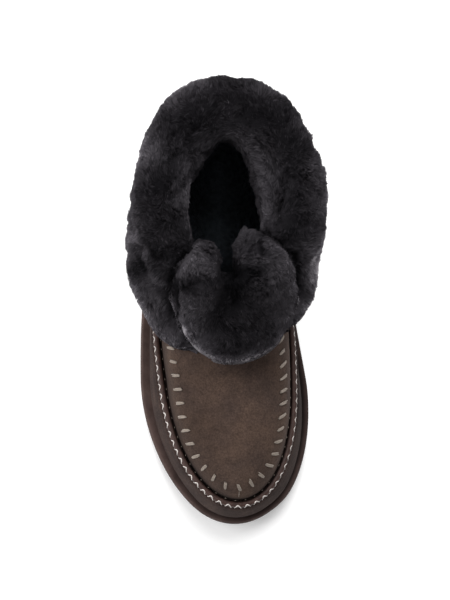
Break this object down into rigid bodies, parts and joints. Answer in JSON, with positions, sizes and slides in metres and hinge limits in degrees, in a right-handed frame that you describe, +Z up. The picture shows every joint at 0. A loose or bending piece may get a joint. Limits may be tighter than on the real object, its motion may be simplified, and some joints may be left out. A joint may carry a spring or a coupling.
{
  "type": "ankle boot",
  "caption": "Slip-on suede ankle boot for the right foot, with a deep fur cuff turned down round the collar, a lobed fur flap in front, a wrapped platform and a grooved outsole",
  "frame": {"origin": "on the floor under the middle of the boot's box", "axes": "+Z up, the toe points to -Y, the inner side of the foot is +X"},
  "size_m": [0.122, 0.2682, 0.1546],
  "materials": {
    "suede": "napped, matt taupe brown",
    "welt_leather": "smooth reddish brown",
    "rubber": "matt dark brown",
    "lining": "short dark pile",
    "fur": "dense charcoal black pile with soft lighter tips"
  },
  "bodies": {
    "root": {"outsole": "rubber", "platform": "suede", "welt": "welt_leather", "upper": "suede", "insole": "lining", "fur_cuff": "fur", "fur_flap": "fur"}
  },
  "joints": []
}
